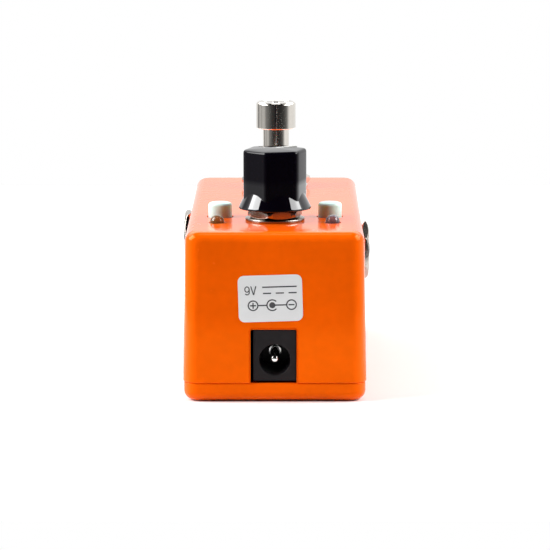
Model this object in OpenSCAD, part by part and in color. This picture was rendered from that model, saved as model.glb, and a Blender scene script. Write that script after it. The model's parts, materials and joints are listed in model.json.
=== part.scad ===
// Compact guitar effects pedal in a die-cast box: one knob, two push buttons with
// an indicator lamp beside each, a footswitch, two 1/4 inch jacks on staggered
// side walls and a round power jack in the end wall.
// z = 0 is the surface that the base rests on. The box is centred on the z axis.
// The power jack is at the -Y end and the footswitch at the +Y end.

/* [Enclosure] */
// Width of the box at its seam
body_w = 38.5; // [38.2:0.1:39]
// Length of the box at its seam
body_l = 92.6; // [92:0.1:94]
// Height of the top face
body_h = 35.8; // [35.5:0.1:36.4]
// Height of the base plate, where the seam is
base_h = 4; // [3.8:0.1:4.2]
// Inward lean of the walls between the seam and the top
lean_in = 0.55; // [0.3:0.05:0.7]
// Radius of the upright corners
corner_r = 3.2; // [2.8:0.1:3.6]
// Radius of the rounded top and bottom edges
edge_r = 2.2; // [1.6:0.1:2.4]
// Thickness of the walls and the top
wall = 2.2; // [2:0.1:2.4]
// Width of the shallow channel along the underside
channel_w = 25; // [24:0.5:26]
// Depth of that channel
channel_d = 0.35; // [0.2:0.05:0.5]

/* [Knob and potentiometer] */
// Distance from the power end to the knob's axis
knob_from_end = 19.5; // [19:0.1:20]
// Radius over the rounded corners of the six-sided grip
grip_r = 6.9; // [6.8:0.1:7.1]
// Distance from the knob's axis to each flat of the grip
grip_flat_r = 6.2; // [6:0.1:6.3]
// Radius of the skirt's lower edge
skirt_r = 7.72; // [7.5:0.02:8]
// Height of the skirt's lower edge above the top face
skirt_z = 2.6; // [2.5:0.1:3]
// Height of the knob's top above the top face
knob_z = 15.45; // [14.5:0.05:16]
// Turn of the grip about the knob's axis, in degrees
grip_turn = 14; // [0:1:30]
// Radius of the potentiometer's shaft
shaft_r = 3; // [3:0.05:3.05]

/* [Buttons and lamps] */
// Distance of each button from the centre line
button_x = 11.8; // [11.6:0.1:12.2]
// Distance from the power end to the buttons
button_from_end = 24.8; // [24.5:0.1:25.2]
// Radius of a button
button_r = 2.55; // [2.4:0.05:2.6]
// Height of a button above the top face
button_z = 3.2; // [2.8:0.1:3.6]
// Travel of a button
button_travel = 1; // [0.5:0.1:1.2]
// Distance of each lamp from the centre line
lamp_x = 12.25; // [12:0.05:12.5]
// Distance from the power end to the lamps
lamp_from_end = 15.5; // [15:0.1:16]

/* [Footswitch] */
// Distance from the power end to the footswitch
foot_from_end = 75; // [74.5:0.1:75.5]
// Radius of the cap
cap_r = 4.55; // [4.3:0.05:4.8]
// Height of the cap's lower edge above the top face
cap_z0 = 13.45; // [13:0.05:14]
// Height of the cap's top above the top face
cap_z1 = 19.6; // [19:0.1:20]
// Travel of the cap
foot_travel = 3; // [2:0.1:3.5]

/* [Jacks] */
// Height of the signal jacks' axis
jack_z = 26.7; // [26.6:0.1:27]
// Distance from the power end to the output jack, in the +X wall
output_from_end = 36.5; // [36:0.1:37]
// Distance from the power end to the input jack, in the -X wall
input_from_end = 57.3; // [57:0.1:57.6]
// Radius of the hole that takes a 1/4 inch plug
plug_r = 3.25; // [3.25:0.01:3.3]
// Distance from the centre line to the outer end of each bushing
bushing_x = 20.6; // [20.5:0.1:21.5]
// Height of the power jack's hole
power_z = 8.9; // [8.8:0.1:9]
// Radius of the power jack's hole
power_r = 3.25; // [3.2:0.05:3.3]
// Radius of the power jack's pin
power_pin_r = 1; // [1:0.05:1.05]

/* [Hidden] */
$fn = 64;

eps = 0.01;
half_w = body_w / 2;
half_l = body_l / 2;
wall_h = body_h - base_h;
lean = atan(lean_in / wall_h);
inner_w = body_w - 2 * wall;
inner_l = body_l - 2 * wall;
top_under = body_h - wall;

// How far a wall has leaned in at a height
function lean_at(z) = lean_in * (z - base_h) / wall_h;

// Corner bosses and the countersunk screws that hold the base
boss_x = half_w - 4.35;
boss_y = half_l - 4.4;
boss_r = 3;
screw_r = 1.2;
screw_hole_r = 1.25;
screw_head_r = 2.3;
screw_head_z = 0.15;
screw_tip_z = 12;
base_floor_z = 2.2;
lip_top_z = 5.4;
lip_clearance = 0.15;

// Opening for the power jack, open at the seam
notch_w = 9.65;
notch_x = -0.25;
notch_top_z = 15.4;

// Rating label on the end wall
label_w = 13.4;
label_h = 9.8;
label_r = 1.3;
label_x = -0.9;
label_z = 22;
label_turn = 1.7;
label_t = 0.12;

// Circuit boards
board_t = 1.6;
main_board_z = 15.3;
main_board_top = main_board_z + board_t;
control_board_z = 24;
control_board_top = control_board_z + board_t;
control_board_y0 = -half_l + 2.7;
control_board_y1 = -half_l + 27.9;
board_gap = 0.2;
header_y = -half_l + 5.9;
header_pin_count = 7;
header_pitch = 2.54;

// Potentiometer under the top face
pot_y = -half_l + knob_from_end;
pot_r = 8.25;
pot_z0 = 26.6;
pot_bushing_r = 3.5;
pot_bushing_z1 = body_h + 3;
pot_washer_t = 0.6;
pot_nut_t = 1.8;
pot_nut_r = 6.05;
pot_nut_turn = 16.2;
shaft_z0 = 27.4;
running = 0.05;
grip_cone_z = 6.4;
grip_cone_r = 5.98;

// Push buttons, each over a small switch on the control board
button_y = -half_l + button_from_end;
button_hole_r = button_r + 0.275;
button_flange_r = 3.2;
button_flange_z1 = top_under - 0.4;
button_flange_t = 1.2;
switch_w = 6;
switch_h = 3.6;
plunger_r = 1.7;
plunger_top_z = 31.4;

// Indicator lamps
lamp_y = -half_l + lamp_from_end;
lamp_r = 1.5;
lamp_top_z = body_h + 1.65;

// Footswitch
foot_y = -half_l + foot_from_end;
foot_thread_r = 6;
foot_guide_r = 3.05;
foot_stem_r = 3;
foot_frame_z = 30.2;
foot_bushing_z1 = body_h + 6.2;
foot_guide_z0 = body_h + 2;
foot_collar_z0 = foot_guide_z0 - 1.3;
foot_body_w = 17;
foot_body_z0 = 17.8;
foot_stem_z0 = foot_body_z0 + foot_travel + 5.8;
foot_lug_z0 = 13.6;
foot_nut_r = 8.08;
spring_r = 3.9;
spring_wire_r = 0.3;
spring_turns = 4;

// Signal jacks: plug axis along x, housing behind the side wall
output_y = -half_l + output_from_end;
input_y = -half_l + input_from_end;
jack_housing_x0 = -11.8;
jack_housing_x1 = half_w - wall - 0.25;
jack_housing_w = 15;
jack_housing_h = 16;
jack_thread_r = 4.7;
jack_nut_r = 6.4;
jack_nut_x0 = half_w - lean_at(jack_z - jack_nut_r);
jack_nut_t = 1.5;

// Power jack: a block under the main board with its hole along y
power_w = 9;
power_h = 10.9;
power_depth = 14.4;
power_hole_d = 11;
power_lip = 1.2;
power_face_y = -half_l + 0.8;
power_back_y = power_face_y + power_depth;
power_pin_d = 1.6;
power_collar_r = 1.5;
power_collar_t = 0.8;

// Knob: the pointer and the set screw are on flats counted round from the one
// that faces the power end, in degrees
insert_r = 4.2;
insert_z1 = body_h + knob_z - 3;
set_screw_z = body_h + 9;
set_screw_r = 1.5;
set_screw_turn = 180;
shaft_flat = 2.5;
pointer_w = 0.9;
pointer_d = 0.3;
pointer_turn = 120;

// ---------------------------------------------------------------- shared shapes

module rounded_rect(w, l, r) {
  square([w - 2 * r, l], center = true);
  square([w, l - 2 * r], center = true);
  for (sx = [-1, 1], sy = [-1, 1])
    translate([sx * (w / 2 - r), sy * (l / 2 - r)])
      circle(r);
}

module rounded_slab(w, l, r, z0, z1) {
  translate([0, 0, z0])
    linear_extrude(z1 - z0)
      rounded_rect(w, l, r);
}

module rod(r, z0, z1) {
  translate([0, 0, z0])
    cylinder(r = r, h = z1 - z0);
}

module tube(r_out, r_in, z0, z1) {
  difference() {
    rod(r_out, z0, z1);
    rod(r_in, z0 - 1, z1 + 1);
  }
}

// Six-sided nut: r is over its corners, with a bevel on the end faces' corners
module hex_nut(r, bore_r, z0, z1, turn) {
  bevel = 0.35;
  difference() {
    intersection() {
      rotate([0, 0, turn])
        translate([0, 0, z0])
          cylinder(r = r, h = z1 - z0, $fn = 6);
      union() {
        translate([0, 0, z0])
          cylinder(r1 = r - bevel, r2 = r + 2 * bevel, h = bevel * 1.5);
        rod(r + 1, z0 + bevel * 1.5 - eps, z1 - bevel * 1.5 + eps);
        translate([0, 0, z1 - bevel * 1.5])
          cylinder(r1 = r + 2 * bevel, r2 = r - bevel, h = bevel * 1.5);
      }
    }
    rod(bore_r, z0 - 1, z1 + 1);
  }
}

// Square pins standing at a list of points
module pins(points, z0, z1, w) {
  for (p = points)
    translate([p[0] - w / 2, p[1] - w / 2, z0])
      cube([w, w, z1 - z0]);
}

module at_bosses() {
  for (sx = [-1, 1], sy = [-1, 1])
    translate([sx * boss_x, sy * boss_y, 0])
      children();
}

// ---------------------------------------------------------------- box

// Outline of a wall seen end-on: leaning sides and rounded top edges
module leaning_outline(half) {
  round_z = body_h - edge_r;
  round_x = half - lean_at(round_z) - edge_r / cos(lean);
  side_x = round_x + edge_r * cos(lean);
  side_z = round_z + edge_r * sin(lean);
  polygon([
    [-half, base_h], [half, base_h], [side_x, side_z], [round_x, body_h],
    [-round_x, body_h], [-side_x, side_z]
  ]);
  for (s = [-1, 1])
    translate([s * round_x, round_z])
      circle(edge_r);
}

module box_form() {
  intersection() {
    rounded_slab(body_w, body_l, corner_r, base_h, body_h);
    rotate([90, 0, 0])
      linear_extrude(body_l + 2, center = true)
        leaning_outline(half_w);
    rotate([90, 0, 90])
      linear_extrude(body_w + 2, center = true)
        leaning_outline(half_l);
  }
}

module enclosure() {
  color("darkorange")
    difference() {
      box_form();
      difference() {
        rounded_slab(inner_w, inner_l, 2, base_h - 1, top_under);
        at_bosses()
          rod(boss_r, base_h - 2, body_h);
      }
      at_bosses()
        rod(screw_hole_r, base_h - 1, screw_tip_z + 1.5);
      translate([0, pot_y, 0])
        rod(pot_bushing_r + 0.1, top_under - 1, body_h + 1);
      translate([0, foot_y, 0])
        rod(foot_thread_r + 0.1, top_under - 1, body_h + 1);
      for (s = [-1, 1]) {
        translate([s * button_x, button_y, 0])
          rod(button_hole_r, top_under - 1, body_h + 1);
        translate([s * lamp_x, lamp_y, 0])
          rod(lamp_r + 0.225, top_under - 1, body_h + 1);
      }
      for (s = [-1, 1])
        translate([0, s > 0 ? output_y : input_y, jack_z])
          rotate([0, s * 90, 0])
            rod(jack_thread_r + 0.1, 12, half_w + 2);
      translate([notch_x - notch_w / 2, -half_l - 1, base_h - 1])
        cube([notch_w, wall + 2, notch_top_z - base_h + 1]);
    }
}

// Outline of the base seen end-on: rounded lower edges
module base_outline(half) {
  translate([-half, edge_r])
    square([2 * half, base_h - edge_r]);
  translate([edge_r - half, 0])
    square([2 * (half - edge_r), base_h]);
  for (s = [-1, 1])
    translate([s * (half - edge_r), edge_r])
      circle(edge_r);
}

module base_form(inset) {
  intersection() {
    rounded_slab(body_w - 2 * inset, body_l - 2 * inset, corner_r - inset, 0, base_h);
    rotate([90, 0, 0])
      linear_extrude(body_l + 2, center = true)
        base_outline(half_w - inset);
    rotate([90, 0, 90])
      linear_extrude(body_w + 2, center = true)
        base_outline(half_l - inset);
  }
}

module base_lip() {
  lip_w = inner_w - 2 * lip_clearance;
  lip_l = inner_l - 2 * lip_clearance;
  difference() {
    rounded_slab(lip_w, lip_l, 1.85, base_floor_z, lip_top_z);
    rounded_slab(lip_w - 2.4, lip_l - 2.4, 0.8, base_floor_z - 1, lip_top_z + 1);
    at_bosses()
      rod(boss_r + 0.2, base_h, lip_top_z + 1);
    translate([-6.5, -half_l, base_floor_z + eps])
      cube([13, 8, lip_top_z]);
  }
}

module base_plate() {
  color("darkorange")
    difference() {
      union() {
        difference() {
          base_form(0.18);
          difference() {
            rounded_slab(inner_w - 1, inner_l - 1, 1.6, base_floor_z, base_h + 1);
            at_bosses()
              rod(boss_r + 0.4, base_floor_z - 1, base_h + 2);
          }
        }
        base_lip();
      }
      translate([-channel_w / 2, -half_l - 1, -1])
        cube([channel_w, body_l + 2, 1 + channel_d]);
      at_bosses() {
        rod(screw_r + 0.2, -1, base_h + 1);
        rod(screw_head_r + 0.08, -1, screw_head_z);
        translate([0, 0, screw_head_z])
          cylinder(r1 = screw_head_r + 0.08, r2 = screw_r, h = 1.18);
      }
    }
}

module base_screws() {
  color("dimgray")
    at_bosses()
      difference() {
        union() {
          translate([0, 0, screw_head_z])
            cylinder(r1 = screw_head_r, r2 = screw_r, h = screw_head_r - screw_r);
          rod(screw_r, screw_head_z + 0.5, screw_tip_z - 0.8);
          translate([0, 0, screw_tip_z - 0.8])
            cylinder(r1 = screw_r, r2 = 0.5, h = 0.8);
        }
        for (turn = [0, 90])
          rotate([0, 0, turn])
            translate([-1.2, -0.25, 0])
              cube([2.4, 0.5, screw_head_z + 0.9]);
      }
}

module rating_label() {
  color("gainsboro")
    translate([label_x, lean_at(label_z) - half_l, label_z])
      rotate([90 - lean, 0, 0])
        rotate([0, 0, label_turn])
          linear_extrude(label_t)
            rounded_rect(label_w, label_h, label_r);
}

// ---------------------------------------------------------------- boards

module main_board() {
  color("seagreen")
    difference() {
      rounded_slab(inner_w - 2 * board_gap, inner_l - 2 * board_gap, 0.6,
        main_board_z, main_board_top);
      at_bosses()
        rod(boss_r + 0.4, main_board_z - 1, main_board_top + 1);
    }
}

module control_board() {
  color("seagreen")
    difference() {
      translate([board_gap - inner_w / 2, control_board_y0, control_board_z])
        cube([inner_w - 2 * board_gap, control_board_y1 - control_board_y0, board_t]);
      at_bosses()
        rod(boss_r + 0.4, control_board_z - 1, control_board_top + 1);
    }
}

module header_block() {
  length = header_pin_count * header_pitch;
  color("black")
    translate([-length / 2, header_y - 1.25, main_board_top])
      cube([length, 2.5, control_board_z - main_board_top]);
}

module header_pins() {
  points = [for (i = [0 : header_pin_count - 1])
    [(i - (header_pin_count - 1) / 2) * header_pitch, header_y]];
  color("gold")
    pins(points, main_board_z + 0.2, control_board_top + 1.2, 0.64);
}

// Eight-legged chip under the main board
module chip(x, y) {
  translate([x, y, main_board_z]) {
    translate([-3.1, -4.9, -3.4])
      cube([6.2, 9.8, 3.1]);
    for (side = [-1, 1], i = [0 : 3])
      translate([side * 3.5 - 0.5, (i - 1.5) * header_pitch - 0.25, -1.9])
        cube([1, 0.5, 1.9]);
  }
}

module integrated_circuits() {
  color("black") {
    chip(-6, -15.5);
    chip(8.5, -4);
    chip(-7, 10);
  }
}

module capacitors() {
  color("midnightblue")
    for (p = [[11.5, -17], [3.5, -16], [1, 4], [6.5, 14], [-13.2, 0]])
      translate([p[0], p[1], 0])
        rod(2.5, main_board_z - 5.6, main_board_z);
}

// ---------------------------------------------------------------- power jack

// Shapes drawn along z, laid along y with z = 0 on the power jack's face
module along_power_axis() {
  translate([0, power_face_y, power_z])
    rotate([-90, 0, 0])
      children();
}

module dc_jack_housing() {
  color("darkslategray")
    difference() {
      translate([-power_w / 2, power_face_y, main_board_z - power_h])
        cube([power_w, power_depth, power_h]);
      along_power_axis() {
        rod(power_r, -1, power_hole_d);
        rod(power_pin_r, power_hole_d - 1, power_depth + 1);
      }
      translate([-1.2, power_face_y + power_lip, power_z])
        cube([2.4, power_hole_d - 1 - power_lip, power_r + 0.7]);
      translate([-1.1, power_back_y - 0.5, main_board_z - power_h - 1])
        cube([2.2, 1, power_h + 2]);
    }
}

module dc_jack_pin() {
  color("silver")
    along_power_axis() {
      rod(power_pin_r, power_pin_d, power_depth - 0.5);
      translate([0, 0, power_pin_d])
        sphere(power_pin_r);
      rod(power_collar_r, power_hole_d - power_collar_t, power_hole_d);
    }
}

module dc_jack_contact() {
  color("silver")
    translate([-1, power_face_y, power_z + power_r]) {
      translate([0, power_lip + 0.4, 0.35])
        cube([2, 10.4 - power_lip, 0.25]);
      translate([0, power_lip + 0.4, -0.25])
        cube([2, 0.25, 0.8]);
      translate([0.4, 8.6, 0.4])
        cube([1.2, 0.6, main_board_top + 1 - power_z - power_r - 0.4]);
    }
}

module dc_jack_terminals() {
  color("silver") {
    translate([-1.05, power_back_y - 0.5, power_z - 1.6])
      cube([2.1, 0.4, main_board_top + 1 - power_z + 1.6]);
    for (s = [-1, 1])
      translate([s * (power_w / 2 - 1.4) - 0.6, power_back_y + 0.05, power_z])
        cube([1.2, 0.3, main_board_top + 1 - power_z]);
  }
}

// ---------------------------------------------------------------- signal jacks

// Shapes drawn for the output jack; the input jack is the same, turned half round
module at_jack(side) {
  translate([0, side > 0 ? output_y : input_y, 0])
    rotate([0, 0, side > 0 ? 0 : 180])
      children();
}

// Shapes drawn along z, laid along x on the plug's axis
module along_plug_axis() {
  translate([0, 0, jack_z])
    rotate([0, 90, 0])
      children();
}

module jack_housing() {
  difference() {
    translate([jack_housing_x0, -jack_housing_w / 2, main_board_top])
      cube([jack_housing_x1 - jack_housing_x0, jack_housing_w, jack_housing_h]);
    along_plug_axis() {
      rod(plug_r + 0.55, jack_housing_x0 + 1.2, 13);
      rod(jack_thread_r, 11.8, jack_housing_x1 + 1);
      rod(6.2, jack_housing_x1 - 0.75, jack_housing_x1 + 1);
    }
    translate([jack_housing_x0 + 1.2, -2, jack_z])
      cube([13, 4, 5]);
    translate([jack_housing_x0 - 1, -2, main_board_top - 1])
      cube([2.2, 4, jack_z - main_board_top + 6]);
    translate([13.2, -1.2, main_board_top - 1])
      cube([1.6, 2.4, jack_z - main_board_top]);
  }
}

module jack_bushing() {
  along_plug_axis() {
    tube(jack_thread_r, plug_r, 11.8, bushing_x);
    tube(6.2, jack_thread_r - 0.5, jack_housing_x1 - 0.75, half_w - wall);
  }
}

module jack_nut(turn) {
  along_plug_axis()
    hex_nut(jack_nut_r, jack_thread_r, jack_nut_x0, jack_nut_x0 + jack_nut_t, turn);
}

// Leaf that touches the plug's tip, with its tail through the main board
module jack_tip_contact() {
  leaf_w = 2.6;
  tail_x = jack_housing_x0 + 0.2;
  translate([tail_x, -leaf_w / 2, main_board_z - 1.4])
    cube([0.4, leaf_w, jack_z + 4.6 - main_board_z + 1.4]);
  translate([tail_x, -leaf_w / 2, jack_z + 4.2])
    cube([12, leaf_w, 0.4]);
  translate([tail_x + 11.6, -leaf_w / 2, jack_z + 2.9])
    cube([0.4, leaf_w, 1.7]);
  translate([tail_x + 5.4, -leaf_w / 2, jack_z + 2.9])
    cube([6.6, leaf_w, 0.4]);
}

module jack_sleeve_contact() {
  translate([13.5, -0.9, main_board_z - 1.4])
    cube([1, 1.8, jack_z - jack_thread_r - main_board_z + 1.4]);
}

module output_jack_housing() {
  color("black")
    at_jack(1)
      jack_housing();
}

module output_jack_bushing() {
  color("silver")
    at_jack(1)
      jack_bushing();
}

module output_jack_nut() {
  color("silver")
    at_jack(1)
      jack_nut(0);
}

module output_jack_tip_contact() {
  color("silver")
    at_jack(1)
      jack_tip_contact();
}

module output_jack_sleeve_contact() {
  color("silver")
    at_jack(1)
      jack_sleeve_contact();
}

module input_jack_housing() {
  color("black")
    at_jack(-1)
      jack_housing();
}

module input_jack_bushing() {
  color("silver")
    at_jack(-1)
      jack_bushing();
}

module input_jack_nut() {
  color("silver")
    at_jack(-1)
      jack_nut(27);
}

module input_jack_tip_contact() {
  color("silver")
    at_jack(-1)
      jack_tip_contact();
}

module input_jack_sleeve_contact() {
  color("silver")
    at_jack(-1)
      jack_sleeve_contact();
}

// ---------------------------------------------------------------- potentiometer

module at_pot() {
  translate([0, pot_y, 0])
    children();
}

module pot_housing() {
  color("silver")
    at_pot()
      difference() {
        union() {
          rod(pot_r, pot_z0, top_under - 0.9);
          rod(pot_r - 0.6, top_under - 1, top_under);
        }
        rod(6.9, pot_z0 + 0.5, top_under - 1.4);
        rod(pot_bushing_r, top_under - 2, top_under + 1);
      }
}

module pot_bushing() {
  color("silver")
    at_pot()
      tube(pot_bushing_r, shaft_r + running, top_under - 1.4, pot_bushing_z1);
}

module pot_washer() {
  color("silver")
    at_pot()
      tube(6.35, pot_bushing_r + 0.05, body_h, body_h + pot_washer_t);
}

module pot_nut() {
  nut_z0 = body_h + pot_washer_t;
  color("silver")
    at_pot()
      hex_nut(pot_nut_r, pot_bushing_r, nut_z0, nut_z0 + pot_nut_t, pot_nut_turn);
}

module pot_terminals() {
  color("silver")
    for (i = [-1, 0, 1])
      translate([i * 5 - 0.5, pot_y - pot_r - 1.4, 0]) {
        translate([0, 0, control_board_z - 1])
          cube([1, 0.4, 5]);
        translate([0, 0, control_board_z + 3.6])
          cube([1, 3.6, 0.4]);
      }
}

module pot_shaft() {
  color("silver")
    at_pot()
      difference() {
        rod(shaft_r, shaft_z0, body_h + knob_z - 3);
        rotate([0, 0, grip_turn + set_screw_turn])
          translate([-4, -shaft_flat - 2, body_h + 6])
            cube([8, 2, knob_z]);
      }
}

module pot_wiper() {
  color("saddlebrown")
    at_pot()
      difference() {
        union() {
          rod(5.6, 28.4, 29.4);
          rotate([0, 0, 60])
            translate([3.6, -0.8, 28.4])
              cube([2.9, 1.6, 1.8]);
        }
        rod(shaft_r, 28, 32);
      }
}

// ---------------------------------------------------------------- knob

module at_knob() {
  at_pot()
    rotate([0, 0, grip_turn])
      children();
}

// Shapes drawn along z, laid along the set screw's axis
module along_set_screw() {
  translate([0, 0, set_screw_z])
    rotate([90, 0, set_screw_turn])
      children();
}

module pointer_groove(extra) {
  rotate([0, 0, pointer_turn]) {
    translate([-pointer_w / 2, -grip_flat_r - extra, body_h + grip_cone_z + 0.6])
      cube([pointer_w, pointer_d + extra, knob_z - grip_cone_z - 0.6 + extra]);
    translate([-pointer_w / 2, -grip_flat_r, body_h + knob_z - pointer_d])
      cube([pointer_w, grip_flat_r - 0.6, pointer_d + extra]);
  }
}

module knob_cap() {
  skirt_lip = 0.4;
  color("black")
    at_knob()
      difference() {
        union() {
          intersection() {
            translate([0, 0, body_h + skirt_z])
              cylinder(r = grip_flat_r / cos(30), h = knob_z - skirt_z, $fn = 6);
            rod(grip_r, body_h + skirt_z, body_h + knob_z);
          }
          rod(skirt_r, body_h + skirt_z, body_h + skirt_z + skirt_lip);
          translate([0, 0, body_h + skirt_z + skirt_lip])
            cylinder(r1 = skirt_r, r2 = grip_cone_r,
              h = grip_cone_z - skirt_z - skirt_lip);
        }
        rod(insert_r, body_h + skirt_z - 1, insert_z1);
        rod(6.2, body_h + skirt_z - 1, body_h + skirt_z + 1.2);
        pointer_groove(0.5);
        along_set_screw()
          rod(set_screw_r + 0.1, 0, grip_r + 1);
      }
}

module knob_pointer() {
  color("white")
    at_knob()
      pointer_groove(0);
}

module knob_insert() {
  color("goldenrod")
    at_knob()
      difference() {
        rod(insert_r, body_h + skirt_z + 1.2, insert_z1);
        rod(shaft_r, body_h, insert_z1 + 1);
        along_set_screw()
          rod(set_screw_r, 0, grip_r);
      }
}

module knob_set_screw() {
  color("dimgray")
    at_knob()
      along_set_screw()
        difference() {
          rod(set_screw_r, shaft_flat + 0.05, 5.4);
          translate([-1.1, -0.25, 4.7])
            cube([2.2, 0.5, 2]);
        }
}

// ---------------------------------------------------------------- lamps

module lamp(side) {
  translate([side * lamp_x, lamp_y, 0]) {
    rod(lamp_r, lamp_top_z - 5.3, lamp_top_z - lamp_r);
    translate([0, 0, lamp_top_z - lamp_r])
      sphere(lamp_r);
    rod(lamp_r + 0.4, lamp_top_z - 5.3, lamp_top_z - 4.3);
  }
}

module left_led() {
  color("orange")
    lamp(-1);
}

module right_led() {
  color("thistle")
    lamp(1);
}

module led_leads() {
  points = [for (s = [-1, 1], t = [-1, 1])
    [s * lamp_x + t * header_pitch / 2, lamp_y]];
  color("silver")
    pins(points, control_board_z - 1, lamp_top_z - 5.3, 0.5);
}

// ---------------------------------------------------------------- push buttons

module at_button(side) {
  translate([side * button_x, button_y, 0])
    children();
}

module switch_housing() {
  z0 = control_board_top;
  difference() {
    translate([-switch_w / 2, -switch_w / 2, z0])
      cube([switch_w, switch_w, switch_h]);
    rod(2.4, z0 + 0.5, z0 + switch_h - 0.6);
    rod(plunger_r + running, z0 + 1, z0 + switch_h + 1);
  }
}

module switch_plunger() {
  z0 = control_board_top + 0.6 + button_travel;
  rod(plunger_r, z0, plunger_top_z);
  rod(2.3, z0, z0 + 0.8);
}

module button_cap() {
  rim = 0.5;
  z1 = body_h + button_z;
  difference() {
    union() {
      rod(button_r, button_flange_z1 - button_flange_t, z1 - rim);
      rod(button_r - rim, z1 - rim - 0.1, z1);
      translate([0, 0, z1 - rim])
        rotate_extrude()
          translate([button_r - rim, 0])
            circle(rim);
      rod(button_flange_r, button_flange_z1 - button_flange_t, button_flange_z1);
    }
    rod(plunger_r, button_flange_z1 - button_flange_t - 1, plunger_top_z);
  }
}

module left_switch_housing() {
  color("dimgray")
    at_button(-1)
      switch_housing();
}

module right_switch_housing() {
  color("dimgray")
    at_button(1)
      switch_housing();
}

module switch_terminals() {
  points = [for (s = [-1, 1], tx = [-1, 1], ty = [-1, 1])
    [s * button_x + tx * 3.25, button_y + ty * 2.25]];
  color("silver")
    pins(points, control_board_z - 1, control_board_top + 1.2, 0.5);
}

module left_button_cap() {
  color("honeydew")
    at_button(-1)
      button_cap();
}

module right_button_cap() {
  color("honeydew")
    at_button(1)
      button_cap();
}

module left_switch_plunger() {
  color("black")
    at_button(-1)
      switch_plunger();
}

module right_switch_plunger() {
  color("black")
    at_button(1)
      switch_plunger();
}

// ---------------------------------------------------------------- footswitch

module at_foot() {
  translate([0, foot_y, 0])
    children();
}

module footswitch_housing() {
  color("royalblue")
    at_foot()
      difference() {
        translate([-foot_body_w / 2, -foot_body_w / 2, foot_body_z0])
          cube([foot_body_w, foot_body_w, foot_frame_z - 1 - foot_body_z0]);
        translate([-6.5, -6.5, foot_body_z0 + 1.6])
          cube([13, 13, foot_frame_z]);
      }
}

module footswitch_frame() {
  color("silver")
    at_foot()
      difference() {
        translate([-foot_body_w / 2 - 0.6, -foot_body_w / 2, foot_frame_z - 7])
          cube([foot_body_w + 1.2, foot_body_w, 7]);
        translate([-foot_body_w / 2, -foot_body_w, foot_frame_z - 8])
          cube([foot_body_w, 2 * foot_body_w, 7]);
        rod(foot_stem_r + 0.5, foot_frame_z - 2, foot_frame_z + 1);
      }
}

module footswitch_bushing() {
  color("silver")
    at_foot()
      difference() {
        rod(foot_thread_r, foot_frame_z, foot_bushing_z1);
        rod(foot_guide_r, foot_frame_z - 1, foot_bushing_z1 + 1);
        rod(4.7, foot_frame_z - 1, foot_guide_z0);
      }
}

module footswitch_back_nut() {
  color("silver")
    at_foot()
      hex_nut(foot_nut_r, foot_thread_r, top_under - 2.8, top_under - 0.6, 30);
}

module footswitch_lock_washer() {
  color("silver")
    at_foot()
      tube(8, foot_thread_r + 0.05, top_under - 0.6, top_under);
}

module footswitch_top_washer() {
  color("silver")
    at_foot()
      tube(7.3, foot_thread_r + 0.05, body_h, body_h + 0.5);
}

module footswitch_top_nut() {
  color("silver")
    at_foot()
      hex_nut(foot_nut_r, foot_thread_r, body_h + 0.5, body_h + 2.9, 12);
}

module footswitch_terminals() {
  points = [for (i = [-1, 0, 1], j = [-1, 0, 1]) [i * 5, foot_y + j * 5]];
  color("silver")
    pins(points, foot_lug_z0, foot_body_z0 + 2.2, 1.2);
}

module footswitch_cap() {
  z0 = body_h + cap_z0;
  z1 = body_h + cap_z1;
  bevel = 0.4;
  color("silver")
    at_foot()
      difference() {
        union() {
          rod(cap_r, z0, z1 - bevel);
          translate([0, 0, z1 - bevel])
            cylinder(r1 = cap_r, r2 = cap_r - bevel, h = bevel);
        }
        translate([0, 0, z1 - 0.25])
          cylinder(r1 = 0.9, r2 = 1.1, h = 0.3);
      }
}

module footswitch_stem() {
  color("silver")
    at_foot() {
      rod(foot_stem_r, foot_stem_z0, body_h + cap_z0);
      rod(4.4, foot_collar_z0, foot_collar_z0 + 1);
    }
}

// Compression spring: a round wire wound between the frame and the stem's collar.
// The wire's ring of points stands upright and is carried round the helix.
module footswitch_spring() {
  sides = 8;
  steps = 20 * spring_turns;
  rise = foot_collar_z0 - foot_frame_z - 2 * spring_wire_r;
  points = [for (i = [0 : steps], j = [0 : sides - 1])
    let (
      turn = 360 * spring_turns * i / steps,
      out = spring_r + spring_wire_r * cos(360 * j / sides)
    )
    [out * cos(turn), out * sin(turn), rise * i / steps + spring_wire_r * sin(360 * j / sides)]];
  skin = [for (i = [0 : steps - 1], j = [0 : sides - 1])
    let (k = (j + 1) % sides)
    [i * sides + j, i * sides + k, (i + 1) * sides + k, (i + 1) * sides + j]];
  start_cap = [for (j = [sides - 1 : -1 : 0]) j];
  end_cap = [for (j = [0 : sides - 1]) steps * sides + j];
  color("lightgray")
    at_foot()
      translate([0, 0, foot_frame_z + spring_wire_r])
        polyhedron(points, concat(skin, [start_cap], [end_cap]));
}

module footswitch_contact_carrier() {
  color("whitesmoke")
    at_foot()
      translate([-5.6, -5.6, foot_stem_z0 - 3.2])
        cube([11.2, 11.2, 3.2]);
}

enclosure();
base_plate();
base_screws();
rating_label();
main_board();
control_board();
header_block();
header_pins();
integrated_circuits();
capacitors();
dc_jack_housing();
dc_jack_pin();
dc_jack_contact();
dc_jack_terminals();
output_jack_housing();
output_jack_bushing();
output_jack_nut();
output_jack_tip_contact();
output_jack_sleeve_contact();
input_jack_housing();
input_jack_bushing();
input_jack_nut();
input_jack_tip_contact();
input_jack_sleeve_contact();
pot_housing();
pot_bushing();
pot_washer();
pot_nut();
pot_terminals();
pot_shaft();
pot_wiper();
knob_cap();
knob_pointer();
knob_insert();
knob_set_screw();
left_led();
right_led();
led_leads();
left_switch_housing();
right_switch_housing();
switch_terminals();
left_button_cap();
left_switch_plunger();
right_button_cap();
right_switch_plunger();
footswitch_housing();
footswitch_frame();
footswitch_bushing();
footswitch_back_nut();
footswitch_lock_washer();
footswitch_top_washer();
footswitch_top_nut();
footswitch_terminals();
footswitch_cap();
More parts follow.
